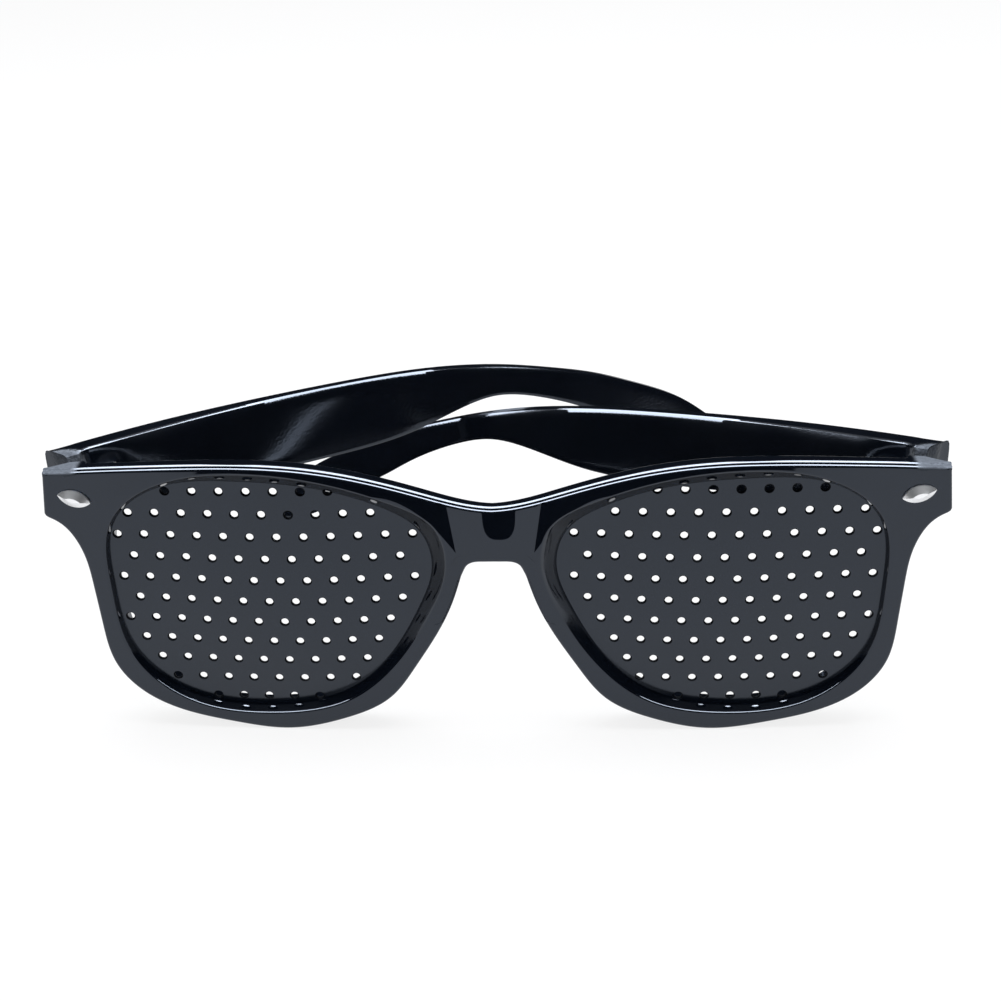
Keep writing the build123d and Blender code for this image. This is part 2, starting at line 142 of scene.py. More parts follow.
# %% Smooth curve through points
def smooth_curve(points, count, closed=False, start=None, end=None):
    """Cubic spline through points, read at count even steps of its parameter. With t the distance along
    the chords and m the second derivatives, the middle equations are h0 m0 + 2 (h0 + h1) m1 + h1 m2 =
    6 (slope1 - slope0). The ends have m = 0, or a given direction."""
    points = np.asarray(points, float)
    if closed:
        around = 4
        wrapped = np.vstack([points[-around:], points, points[:around + 1]])
        knots = np.concatenate([[0], np.cumsum(np.linalg.norm(np.diff(wrapped, axis=0), axis=1))])
        first, last = knots[around], knots[around + len(points)]
        at = np.linspace(first, last, count, endpoint=False)
    else:
        wrapped = points
        knots = np.concatenate([[0], np.cumsum(np.linalg.norm(np.diff(wrapped, axis=0), axis=1))])
        at = np.linspace(0, knots[-1], count)
    steps = np.diff(knots)
    slopes = np.diff(wrapped, axis=0) / steps[:, None]
    size = len(wrapped)
    system, rhs = np.zeros((size, size)), np.zeros((size, wrapped.shape[1]))
    middle = np.arange(1, size - 1)
    system[middle, middle - 1] = steps[:-1]
    system[middle, middle] = 2 * (steps[:-1] + steps[1:])
    system[middle, middle + 1] = steps[1:]
    rhs[middle] = 6 * (slopes[1:] - slopes[:-1])
    system[0, 0] = system[-1, -1] = 1
    if start is not None:
        system[0, :2] = 2 * steps[0], steps[0]
        rhs[0] = 6 * (slopes[0] - np.asarray(start, float))
    if end is not None:
        system[-1, -2:] = steps[-1], 2 * steps[-1]
        rhs[-1] = 6 * (np.asarray(end, float) - slopes[-1])
    bend = np.linalg.solve(system, rhs)
    piece = np.clip(np.searchsorted(knots, at, side="right") - 1, 0, size - 2)
    h = steps[piece][:, None]
    a = (knots[piece + 1] - at)[:, None]
    b = (at - knots[piece])[:, None]
    return (
        bend[piece] * a**3 / (6 * h) + bend[piece + 1] * b**3 / (6 * h)
        + (wrapped[piece] / h - bend[piece] * h / 6) * a
        + (wrapped[piece + 1] / h - bend[piece + 1] * h / 6) * b
    )


# %% Smooth step, grid faces and mesh pieces
def smooth_step(value, low, high):
    """3 u squared - 2 u cubed, with u the share of the way from low to high."""
    u = np.clip((value - low) / (high - low), 0, 1)
    return u * u * (3 - 2 * u)


def grid_faces(rows, columns, wrap=False, start=0):
    """Four-sided faces between neighbouring points of a grid, which may close on itself along its columns."""
    last = columns if wrap else columns - 1
    row, column = np.meshgrid(np.arange(rows - 1), np.arange(last), indexing="ij")
    beside = (column + 1) % columns
    return start + np.stack([
        row * columns + column, row * columns + beside,
        (row + 1) * columns + beside, (row + 1) * columns + column,
    ], axis=-1).reshape(-1, 4)


def make_piece(name, points, faces, body, replaces=(), merge=0.002, sharp=35.0):
    """Mesh object from points in millimetres and four-sided faces. Doubles are merged, the faces turned
    outwards and the edges above the sharp angle marked. It rides on a body at its place in the mesh."""
    mesh = bpy.data.meshes.new(name)
    placed = (np.asarray(points, float).reshape(-1, 3) + offset) * MM
    mesh.from_pydata(placed.tolist(), [], np.asarray(faces).tolist())
    work = bmesh.new()
    work.from_mesh(mesh)
    bmesh.ops.remove_doubles(work, verts=work.verts, dist=merge * MM)
    bmesh.ops.dissolve_degenerate(work, dist=merge * MM / 2, edges=work.edges)
    loose = [point for point in work.verts if not point.link_faces]
    bmesh.ops.delete(work, geom=loose, context="VERTS")
    bmesh.ops.recalc_face_normals(work, faces=work.faces)
    open_edges = sum(1 for edge in work.edges if not edge.is_manifold)
    work.to_mesh(mesh)
    work.free()
    mesh.polygons.foreach_set("use_smooth", np.ones(len(mesh.polygons), bool))
    mesh.set_sharp_from_angle(angle=math.radians(sharp))
    piece = new_object(name, mesh)
    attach(piece, body)
    if replaces:
        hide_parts(*replaces)
    print(name, len(mesh.vertices), "points,", len(mesh.polygons), "faces,", open_edges, "open edges")
    return piece


def keep_flats_flat(piece):
    """Normals weighted by face size, so that the broad faces stay flat between their narrow rounded edges."""
    weighted = piece.modifiers.new("flat_stays_flat", "WEIGHTED_NORMAL")
    weighted.keep_sharp = True
    weighted.weight = 60


# %% [markdown]
# ## Materials
# The plastic is almost black. Its slate tone is the white table mirrored in the polish, and its black zones
# mirror the dark room. So the colour stays dark and the work goes into the polish: soft waves of
# roughness, a fine grain, and scuffed places where the temples meet the end pieces.

# %% Helpers for nodes
def add(tree, kind, sockets=None, **settings):
    """Node with its settings, and its sockets filled with values or linked from other sockets."""
    node = tree.nodes.new("ShaderNode" + kind)
    for key, value in settings.items():
        setattr(node, key, value)
    for key, value in (sockets or {}).items():
        if isinstance(value, bpy.types.NodeSocket):
            tree.links.new(value, node.inputs[key])
        else:
            node.inputs[key].default_value = value
    return node


def calc(tree, operation, first, second=0.0):
    """Output of a maths node on one or two numbers or sockets."""
    return add(tree, "Math", {0: first, 1: second}, operation=operation).outputs[0]


def fade(tree, value, low, high, from_one=False):
    """Output that goes smoothly from 0 to 1, or from 1 to 0, while the value goes from low to high."""
    ends = (1.0, 0.0) if from_one else (0.0, 1.0)
    sockets = {"Value": value, "From Min": low, "From Max": high, "To Min": ends[0], "To Max": ends[1]}
    return add(tree, "MapRange", sockets, interpolation_type="SMOOTHSTEP").outputs[0]


def new_group(name, inputs, outputs):
    """Empty node group with named sockets. Returns the tree, the input node's outputs and the output node."""
    tree = bpy.data.node_groups.new(name, "ShaderNodeTree")
    for label, kind in inputs:
        tree.interface.new_socket(name=label, in_out="INPUT", socket_type="NodeSocket" + kind)
    for label, kind in outputs:
        tree.interface.new_socket(name=label, in_out="OUTPUT", socket_type="NodeSocket" + kind)
    return tree, tree.nodes.new("NodeGroupInput").outputs, tree.nodes.new("NodeGroupOutput").inputs


# %% Group: worn polish
grain_ratio, scuff_grain, least_roughness = 22.0, 30.0, 0.03
worn, given, result = new_group(
    "worn_polish",
    [("Place", "Vector"), ("Scale", "Float"), ("Polish", "Float"), ("Wear", "Float"), ("Scuff", "Float")],
    [("Roughness", "Float"), ("Height", "Float")],
)
wave = add(worn, "TexNoise", {"Vector": given["Place"], "Scale": given["Scale"], "Detail": 3.0}).outputs[0]
fine_scale = calc(worn, "MULTIPLY", given["Scale"], grain_ratio)
grain = add(worn, "TexNoise", {"Vector": given["Place"], "Scale": fine_scale, "Detail": 2.0}).outputs[0]
uneven = calc(worn, "MULTIPLY", calc(worn, "SUBTRACT", wave, 0.5), given["Wear"])
half_grain = add(worn, "Math", {0: grain, 1: 0.5, 2: 0.5}, operation="MULTIPLY_ADD").outputs[0]
dull = calc(worn, "MULTIPLY", given["Scuff"], half_grain)
polish = calc(worn, "ADD", calc(worn, "ADD", given["Polish"], uneven), dull)
worn.links.new(calc(worn, "MAXIMUM", polish, least_roughness), result["Roughness"])
stronger = calc(worn, "ADD", calc(worn, "MULTIPLY", given["Scuff"], scuff_grain), 1.0)
worn.links.new(calc(worn, "MULTIPLY", grain, stronger), result["Height"])

# %% Group: uneven tint
cloud_scale = 160.0
tint, given, result = new_group(
    "uneven_tint", [("Place", "Vector"), ("Colour", "Color"), ("Spread", "Float")], [("Base Color", "Color")],
)
cloud = add(tint, "TexNoise", {"Vector": given["Place"], "Scale": cloud_scale, "Detail": 4.0}).outputs[0]
lighter = calc(tint, "ADD", 1.0, calc(tint, "MULTIPLY", calc(tint, "SUBTRACT", cloud, 0.5), given["Spread"]))
tinted = add(tint, "VectorMath", {0: given["Colour"], "Scale": lighter}, operation="SCALE").outputs[0]
tint.links.new(tinted, result["Base Color"])

# %% [markdown]
# The bridge has a crease on each side. Outside the creases the face leans back a little, so it mirrors the
# dark room and looks black, and so does a small rounded place under the middle of the brow. The lean is
# too slight to show in the outline, so it is given to the surface's normal: n + lean times up.

# %% Group: leaning faces beside the bridge
crease_aside, crease_blend = 0.35, 0.3
wing_reach, wing_climb, wing_bend, foot_blend = 13.0, 1.602, 0.0616, 0.4
wing_fades_from, wing_fades_to = 30.0, 66.0
patch_aside, patch_half_width, patch_top_z, patch_drop, patch_power = 0.75, 2.65, 42.3, 5.3, 3.0
patch_fades_from, patch_fades_to, lean_strength = 0.8, 1.15, 0.4
leaning, given, result = new_group(
    "leaning_faces", [("Place", "Vector"), ("Face", "Float"), ("Lean", "Float")], [("Normal", "Vector")],
)
axes = add(leaning, "SeparateXYZ", {0: given["Place"]}).outputs
signed_x = calc(leaning, "SUBTRACT", calc(leaning, "MULTIPLY", axes[0], 1000.0), offset[0] + crease_aside)
x_mm = calc(leaning, "ABSOLUTE", signed_x)
z_mm = calc(leaning, "MULTIPLY", axes[2], 1000.0)
leant_z = calc(leaning, "MULTIPLY", z_mm, crease_lean)
crease = calc(leaning, "ADD", leant_z, crease_x - crease_lean * crease_z)
beyond = fade(leaning, calc(leaning, "SUBTRACT", x_mm, crease), 0.0, crease_blend)
past_crease = calc(leaning, "MAXIMUM", calc(leaning, "SUBTRACT", x_mm, crease_x), 0.0)
into_wing = calc(leaning, "MINIMUM", past_crease, wing_reach)
curve = calc(leaning, "SUBTRACT", wing_climb, calc(leaning, "MULTIPLY", into_wing, wing_bend))
wing_foot = calc(leaning, "ADD", calc(leaning, "MULTIPLY", into_wing, curve), crease_z)
above = fade(leaning, calc(leaning, "SUBTRACT", z_mm, wing_foot), 0.0, foot_blend)
inside = fade(leaning, x_mm, wing_fades_from, wing_fades_to, from_one=True)
wing = calc(leaning, "MULTIPLY", calc(leaning, "MULTIPLY", beyond, above), inside)
from_patch = calc(leaning, "ABSOLUTE", calc(leaning, "SUBTRACT", signed_x, patch_aside))
patch_x = calc(leaning, "POWER", calc(leaning, "DIVIDE", from_patch, patch_half_width), patch_power)
below_brow = calc(leaning, "MAXIMUM", calc(leaning, "SUBTRACT", patch_top_z, z_mm), 0.0)
patch_z = calc(leaning, "POWER", calc(leaning, "DIVIDE", below_brow, patch_drop), patch_power)
patch_size = calc(leaning, "ADD", patch_x, patch_z)
patch = fade(leaning, patch_size, patch_fades_from, patch_fades_to, from_one=True)
bridge = calc(leaning, "MULTIPLY", calc(leaning, "MAXIMUM", wing, patch), given["Face"])
lean = calc(leaning, "ADD", bridge, given["Lean"])
up = add(leaning, "CombineXYZ", {2: calc(leaning, "MULTIPLY", lean, lean_strength)}).outputs[0]
surface = add(leaning, "NewGeometry").outputs["Normal"]
moved = add(leaning, "VectorMath", {0: surface, 1: up}, operation="ADD").outputs[0]
leaning.links.new(add(leaning, "VectorMath", {0: moved}, operation="NORMALIZE").outputs[0], result["Normal"])


# %% Plastic and metal
wave_scale, grain_depth = 90.0, 0.00002


def surface_material(name, colour, polish, wear, bump, metallic=0.0, leans=False, spread=0.5):
    """Principled material with tint, polish and grain from the groups above. The mesh's own attributes say
    where it is scuffed and which faces belong to the front's face."""
    material = bpy.data.materials.new(name)
    material.use_nodes = True
    tree = material.node_tree
    shader = tree.nodes["Principled BSDF"]
    place = add(tree, "TexCoord").outputs["Object"]
    scuff = add(tree, "Attribute", attribute_name="scuff").outputs["Fac"]
    sockets = {"Place": place, "Scale": wave_scale, "Polish": polish, "Wear": wear, "Scuff": scuff}
    worn_node = add(tree, "Group", sockets, node_tree=worn)
    sockets = {"Place": place, "Colour": (*colour, 1.0), "Spread": spread}
    tint_node = add(tree, "Group", sockets, node_tree=tint)
    sockets = {"Height": worn_node.outputs["Height"], "Strength": bump, "Distance": grain_depth}
    if leans:
        face, lean = (add(tree, "Attribute", attribute_name=name).outputs["Fac"] for name in ("face", "lean"))
        lean_node = add(tree, "Group", {"Place": place, "Face": face, "Lean": lean}, node_tree=leaning)
        sockets["Normal"] = lean_node.outputs["Normal"]
    bump_node = add(tree, "Bump", sockets)
    tree.links.new(tint_node.outputs["Base Color"], shader.inputs["Base Color"])
    tree.links.new(worn_node.outputs["Roughness"], shader.inputs["Roughness"])
    tree.links.new(bump_node.outputs["Normal"], shader.inputs["Normal"])
    shader.inputs["Metallic"].default_value = metallic
    if not metallic:
        shader.inputs["IOR"].default_value = 1.57
        shader.inputs["Specular Tint"].default_value = (0.75, 0.84, 1.0, 1.0)
    return material


def attribute(piece, name, values):
    """Number stored at every point of a piece's mesh."""
    piece.data.attributes.new(name, "FLOAT", "POINT").data.foreach_set("value", np.asarray(values, np.float32))


def point_places(piece):
    """Every point of a piece's mesh, in the millimetres that the shapes are worked out in."""
    places = np.empty(len(piece.data.vertices) * 3)
    piece.data.vertices.foreach_get("co", places)
    return places.reshape(-1, 3) / MM - offset


front_look = surface_material("front_plastic", (0.003, 0.0045, 0.008), 0.07, 0.07, 0.12, leans=True)
temple_look = surface_material("temple_plastic", (0.003, 0.0045, 0.008), 0.12, 0.12, 0.5, leans=True)
plate_look = surface_material("plate_plastic", (0.0028, 0.0045, 0.008), 0.16, 0.12, 0.2)
# The pinhole walls get a darker colour and almost no reflection: painted shade inside the holes.
pinhole_shade_look = surface_material("pinhole_wall_painted_shade", (0.001, 0.0012, 0.002), 0.6, 0.2, 0.2)
pinhole_shade_look.node_tree.nodes["Principled BSDF"].inputs["Specular IOR Level"].default_value = 0.05
core_look = surface_material("hidden_plastic", (0.003, 0.0045, 0.008), 0.2, 0.1, 0.1)
stud_look = surface_material("stud_metal", (0.9, 0.91, 0.93), 0.3, 0.1, 0.3, metallic=1.0, spread=0.1)
hinge_look = surface_material("hinge_metal", (0.62, 0.61, 0.59), 0.3, 0.25, 0.6, metallic=1.0, spread=0.2)

# %% [markdown]
# ## The front
# The real front is one moulding: two rims, a bridge and two end pieces, with a bevel that leads from the
# face down to each plate. A grid suits it better than cuts, because a grid keeps reflections even. Each
# half is a band that runs round its lens opening, from the opening's edge to the outer outline, once over
# the face and once over the back. The halves meet on the middle line, where their points are merged.

# %% Outline of half the front and the opening inside it
brow_start, brow_end = (1, 0.03), (1, -0.03)
brow_count, side_count, rim_count, arch_count, middle_count, lens_samples = 96, 10, 190, 26, 18, 720
falling_share, even_share = 0.97, 0.03


def outline_of_half():
    """Points once round the right half of the front, from the middle of the brow to the middle line's top.
    Returns the points and, for each, whether it lies on the outside of the moulding."""
    size = np.array([front_half_width, front_height])
    brow = smooth_curve(brow_shares * size, brow_count, start=brow_start, end=brow_end)
    side = np.linspace(brow[-1], np.array(foot_share) * size, side_count)
    rim = smooth_curve(rim_shares * size, rim_count, start=(0, -1))
    onward = rim[-1] - rim[-2]
    arch = smooth_curve(arch_shares * size, arch_count, start=onward / np.linalg.norm(onward), end=(-1, 0))
    middle = np.linspace(arch[-1], brow[0], middle_count)
    points = np.vstack([brow[:-1], side[:-1], rim[:-1], arch[:-1], middle])
    outside = np.arange(len(points)) < len(points) - len(middle)
    return points, outside


def lens_outline(widths, count):
    """The lens opening's outline, with every chosen point moved out from the middle by its own width."""
    span = np.linalg.norm(lens_shares, axis=1)
    step = (np.asarray(widths) / span)[:, None]
    size = np.array([lens_half_width, lens_half_height]) + step
    return smooth_curve(lens_shares * size, count, closed=True) + (lens_middle_x, lens_centre_z)


def at_angles(outline, angles):
    """Points of a closed outline where rays from the lens's middle cross it, read from its polar form."""
    centred = outline - (lens_middle_x, lens_centre_z)
    polar = np.arctan2(centred[:, 1], centred[:, 0])
    radius = np.linalg.norm(centred, axis=1)
    order = np.argsort(polar)
    polar, radius = polar[order], radius[order]
    polar = np.concatenate([polar - 2 * np.pi, polar, polar + 2 * np.pi])
    radius = np.tile(radius, 3)
    turned = (angles + np.pi) % (2 * np.pi) - np.pi
    at = np.interp(turned, polar, radius)
    return np.stack([np.cos(turned) * at + lens_middle_x, np.sin(turned) * at + lens_centre_z], axis=-1)


outer, outside = outline_of_half()
seen_from_lens = np.unwrap(np.arctan2(outer[:, 1] - lens_centre_z, outer[:, 0] - lens_middle_x))
falling = np.minimum.accumulate(seen_from_lens)
# The rays may not stand still, so the angle is blended with an even turn where the arch turns back
even = np.linspace(falling[0], falling[0] - 2 * np.pi, len(falling))
rays = falling_share * falling + even_share * even
rays = falling[0] + (rays - rays[0]) * (-2 * np.pi) / (rays[-1] - rays[0])
inner = at_angles(lens_outline(np.zeros(len(lens_shares)), lens_samples), rays)
bevel_edge = at_angles(lens_outline(bevel_width * bevel_shares, lens_samples), rays)
print("half outline", len(outer), "points, turn", round(math.degrees(rays[-1] - rays[0]), 1))


# %% [markdown]
# The face lies on a very shallow bow. The back is flat, but it falls away behind the brow's narrow top,
# runs off in a mitre at the end pieces, is hollowed behind each plate by a sphere, and stands proud round
# the lens where the dome runs deeper than the front.

# %% Heights of the front's face and back
brow_line_count = 400


def face_y(x):
    """Y of the face on its bow: face + R - sqrt(R squared - x squared)."""
    return front_face_y + front_bow_radius - np.sqrt(front_bow_radius**2 - x**2)


def dome_at(x, z, inward):
    """Y of a sphere about the dome's centre whose radius is smaller than the dome's by inward."""
    square = (dome_radius - inward)**2 - (x - dome_x)**2 - (z - lens_centre_z)**2
    return dome_y - np.sqrt(np.maximum(square, 1.0))


def plate_y(x, z):
    """Y of a plate's face: the dome's depth d, levelled off near the plate's border as L tanh(d / L)."""
    return border_depth * np.tanh(dome_at(x, z, 0.0) / border_depth)


brow_line = smooth_curve(
    brow_shares * (front_half_width, front_height), brow_line_count, start=brow_start, end=brow_end,
)


def back_y(x, z, near_lens):
    """Y of the back: the least of the flat back, the slope behind the brow, the mitre and the hollow. Near
    the lens it is the hollow's sphere alone, so that the rim stands proud where the dome is deep."""
    reach = front_half_width * brow_shares[-2][0]
    fall = (face_y(reach) - front_face_y) / reach
    top = np.interp(x, brow_line[:, 0], brow_line[:, 1])
    slope = front_face_y + brow_top_depth + fall * x + (top - z) / brow_back_slope
    slope = np.where(x < reach, slope, np.inf)
    mitre = front_back_y - np.maximum(x - mitre_start_x, 0) * (2 * mitre_rise / mitre_run)
    hollow = dome_at(x, z, lens_thickness + back_lip)
    flat = np.minimum(np.minimum(front_back_y, slope), mitre)
    return np.where(near_lens > 0.5, hollow, np.minimum(flat, hollow))


# %% [markdown]
# The grid is built from rows of points. Each row runs once round the lens, and these helpers step from one
# row to the next.

# %% Helpers for rows of points
least_share, most_share, share_elsewhere, bridge_reach = 0.2, 0.96, 0.5, 8.5


def ramp(start, end, count, ends=True):
    """Points in even steps between two rows of points."""
    share = np.linspace(0, 1, count, endpoint=ends)[:, None, None]
    return start[None] * (1 - share) + end[None] * share


def crease_share(start, end):
    """Where each grid line from start to end crosses the bridge's crease, x = crease x + lean (z - crease z),
    as a share of the line. Lines that don't cross it get a fixed share, nearer their end at the bridge."""
    x0, z0 = start[:, 0], start[:, 1]
    dx, dz = end[:, 0] - x0, end[:, 1] - z0
    share = (crease_x + crease_lean * (z0 - crease_z) - x0) / (dx - crease_lean * dz)
    crosses = (share > 0) & (share < 1)
    fixed = np.where(end[:, 0] < bridge_reach, most_share, share_elsewhere)
    return np.where(crosses, np.clip(share, least_share, most_share), fixed)[None, :, None]


def with_y(flat, y):
    """Points (x, z) and their depths joined into (x, y, z)."""
    return np.stack([flat[..., 0], y, flat[..., 1]], axis=-1)


# %% [markdown]
# A moulding has no sharp edges. Round the outline, the face and the back stop a little short of it, and a
# quarter circle of rows takes the turn. At the bevel's rim a short parabola does the same. The mould's two
# halves leave a low step round the wall, which draws the second bright line along the brow.

# %% Rounded edges as rows of the grid
edge_radius, rim_radius, round_rows, bridge_lift = 0.45, 0.3, 6, 2.1
corner_rows, corner_limit = 5, 0.45
parting_rise, parting_from, parting_run, parting_foot_z, parting_full_z = 0.16, 1.05, 0.27, 34.0, 41.0


def inset(line, amount):
    """Outline moved inwards along its own normal (dz, -dx). On the middle line it stays at X 0, and its
    points are spread evenly between the two ends."""
    step = np.gradient(line, axis=0)
    normal = np.column_stack([step[:, 1], -step[:, 0]])
    normal[[0, -1]] = (0, -1)
    first = int(outside.sum())
    normal[first] = (0, 1)
    moved = line + normal / np.linalg.norm(normal, axis=1, keepdims=True) * amount
    moved[first:] = np.linspace(moved[first], moved[0], len(line) - first)
    return moved


def quarter(start_flat, start_y, rim_flat, sign):
    """Rows that turn from the face's direction into the wall's: in by r (1 - sin), back by r (1 - cos)."""
    turn = np.linspace(0, np.pi / 2, round_rows)[:, None]
    share = np.sin(turn)[..., None]
    flat = start_flat[None] * (1 - share) + rim_flat[None] * share
    return with_y(flat, start_y[None] + sign * edge_radius * (1 - np.cos(turn)))


def soft_corner(before, corner, after, reach):
    """Parabola that cuts a corner: (1 - t) squared A + 2 t (1 - t) C + t squared B, with A and B at the
    given reach from the corner C."""
    a, b = before - corner, after - corner
    a = corner + a * np.minimum(reach / np.linalg.norm(a, axis=1, keepdims=True), corner_limit)
    b = corner + b * np.minimum(reach / np.linalg.norm(b, axis=1, keepdims=True), corner_limit)
    s = np.linspace(0, 1, corner_rows)[:, None, None]
    return (1 - s)**2 * a + 2 * s * (1 - s) * corner + s**2 * b


# %% [markdown]
# The face's rows start at the plate, climb the bevel, turn at its rim and cross the face to the outline.

# %% Rows of the face and its rounded edges
bevel_steps, face_steps = 5, 7
arch_blend_from, arch_blend_to = 27.0, 4.0
split = crease_share(bevel_edge, outer)
fold_line = (bevel_edge[None] * (1 - split) + outer[None] * split)[0]
# Straight grid lines to the bridge would cut across the arch's corner, so their fold is lifted above it
middle_at = int(outside.sum())
column = np.arange(len(outer))
arch_turn = smooth_step(column, middle_at - arch_blend_from, middle_at - arch_blend_to)
up_the_middle = np.clip((column - middle_at) / (len(outer) - 1 - middle_at), 0, 1)
fold_line[:, 1] += bridge_lift * arch_turn * (1 - up_the_middle)**2
rise = parting_rise * smooth_step(outer[:, 1], parting_foot_z, parting_full_z)[:, None]
front_edge = inset(outer, rise)
face_end = inset(outer, rise + edge_radius)
floor_points = with_y(inner, plate_y(inner[:, 0], inner[:, 1]) - plate_step)
rim_points = with_y(bevel_edge, face_y(bevel_edge[:, 0]))
fold_points = with_y(fold_line, face_y(fold_line[:, 0]))
rim_turn = soft_corner(floor_points, rim_points, fold_points, rim_radius)
bevel_rows = ramp(floor_points, rim_turn[0], bevel_steps, False)
after_rim = rim_turn[-1][:, [0, 2]]
face_flat = np.concatenate([
    ramp(after_rim, fold_line, face_steps)[1:-1], ramp(fold_line, face_end, face_steps),
])
face_rows = with_y(face_flat, face_y(face_flat[..., 0]))
front_turn = quarter(face_end, face_rows[-1, :, 1], front_edge, 1)

# %% [markdown]
# The last rows carry the grid round to the back. The rim's proud part is a band of a fixed width next to
# the opening, so one row sits on each side of its edge.

# %% Rows of the front's back
far_steps, guide_steps, side_steps, wall_steps = 8, 6, 3, 4
proud_least, proud_most, guide_fades_from = 0.05, 0.6, 0.5
away_length = np.linalg.norm(outer - inner, axis=1)
proud_share = np.clip(rim_wall / away_length, proud_least, proud_most)[None, :, None]
proud_edge = (inner[None] * (1 - proud_share) + outer[None] * proud_share)[0]
back_start = inset(outer, edge_radius)
back_start_y = back_y(back_start[:, 0], back_start[:, 1], 0)
# Above the arch the back follows the same fold. That fades out before the last column, which lies on the
# first, so that both have the same points and the mesh closes
half_way = (proud_edge + outer) / 2
follows = (arch_turn > 0) * (1 - smooth_step(up_the_middle, guide_fades_from, 1.0))
guide = half_way + (fold_line - half_way) * follows[:, None]
far_rows = np.concatenate([ramp(back_start, guide, far_steps, False), ramp(guide, proud_edge, guide_steps)])
near_rows = ramp(proud_edge, inner, wall_steps)
back_far = with_y(far_rows, back_y(far_rows[..., 0], far_rows[..., 1], 0))
back_near = with_y(near_rows, back_y(near_rows[..., 0], near_rows[..., 1], 1))
back_turn = quarter(back_start, back_start_y, outer, -1)[::-1]
step_y = face_y(outer[:, 0]) + parting_from
step_foot, step_top = with_y(front_edge, step_y), with_y(outer, step_y + parting_run)
side_rows = np.concatenate([
    ramp(front_turn[-1], step_foot, side_steps, False), ramp(step_foot, step_top, side_steps, False),
    ramp(step_top, back_turn[0], wall_steps),
])
wall_rows = ramp(back_near[-1], bevel_rows[0], wall_steps)
half_rows = np.concatenate([
    bevel_rows, rim_turn, face_rows, front_turn[1:], side_rows[1:-1], back_turn, back_far[1:], back_near,
    wall_rows[1:],
])
print("rows and columns of half the front", half_rows.shape[:2])

# %% Join both halves of the front
rows, columns = half_rows.shape[:2]
face_row = len(bevel_rows) + len(rim_turn) + len(face_rows) - 1
wall_count = len(front_turn) + len(side_rows) + len(back_turn) - 3
strips = grid_faces(rows, columns)
strip_row = np.repeat(np.arange(rows - 1), columns - 1)
strip_column = np.tile(np.arange(columns - 1), rows - 1)
# Between the face and the back there is a wall only on the outside, not on the middle line
wall_strip = (strip_row >= face_row) & (strip_row < face_row + wall_count)
kept = strips[~(wall_strip & ~(outside[strip_column]))]
mirrored = half_rows * (-1.0, 1.0, 1.0)
points = np.concatenate([half_rows.reshape(-1, 3), mirrored.reshape(-1, 3)])
points[:, 2] = np.clip(points[:, 2], 0.0, front_height)
faces = np.concatenate([kept, kept[:, ::-1] + rows * columns])
front = make_piece("front_moulding", points, faces, "front", ["front_frame"], merge=0.001, sharp=50.0)
keep_flats_flat(front)

# %% [markdown]
# ## The lens plates
# Each plate is a thin dome with 107 round pinholes in staggered rows. The dome is a fan of rings inside
# the outline of its groove, and all the pinholes are cut in one go by a mesh of small rods. Each rod is
# wider at the face, which gives every pinhole its countersink. The faces that the rods cut get a darker
# material with almost no reflection, which paints shade inside each pinhole and draws its dark ring.

# %% Places of the pinholes
hole_pitch, row_pitch = 4.35, 3.9
hole_profile = ((-4.0, 0.82), (0.03, 0.82), (0.2, 0.62), (6.0, 0.62))
row_counts = (7, 10, 12, 11, 12, 11, 11, 10, 9, 8, 6)
row_starts = (6, 3, 0, 1, 0, 1, 2, 3, 4, 5, 8)
middle_row, middle_step = 5, 11
plate_look_thickness, plate_edges, plate_rings, plate_sharp = 0.45, 120, 22, math.radians(35)

across = np.concatenate([
    start + 2 * np.arange(count) - middle_step for count, start in zip(row_counts, row_starts)
])
row_of_hole = np.repeat(np.arange(len(row_counts)), row_counts)
holes = np.stack([
    lens_centre_x + across * hole_pitch / 2, lens_centre_z + (middle_row - row_of_hole) * row_pitch,
], axis=-1)
print("pinholes in each plate", len(holes))


# %% Dome and rods
def make_rods(places, profile, sides=16):
    """Closed rods along Y at places (x, z). The profile is rows of (depth from the plate's face, radius)."""
    turn = np.linspace(0, 2 * np.pi, sides, endpoint=False)
    circle = np.stack([np.cos(turn), np.sin(turn)], axis=-1)
    face = plate_y(np.abs(places[:, 0]), places[:, 1])
    rings = []
    for depth, radius in profile:
        flat = places[:, None, :] + circle[None] * radius
        rings.append(with_y(flat, np.repeat(face[:, None] + depth, sides, axis=1)))
    points = np.concatenate(rings, axis=1)
    tall = len(profile)
    base = (np.arange(len(places)) * tall * sides)[:, None, None]
    walls = base + grid_faces(tall, sides, wrap=True)[None]
    side = np.arange(sides)
    caps = np.stack([base[:, 0] + side, base[:, 0] + (tall - 1) * sides + side], axis=1)
    return points.reshape(-1, 3), walls.reshape(-1, 4), caps.reshape(-1, sides)


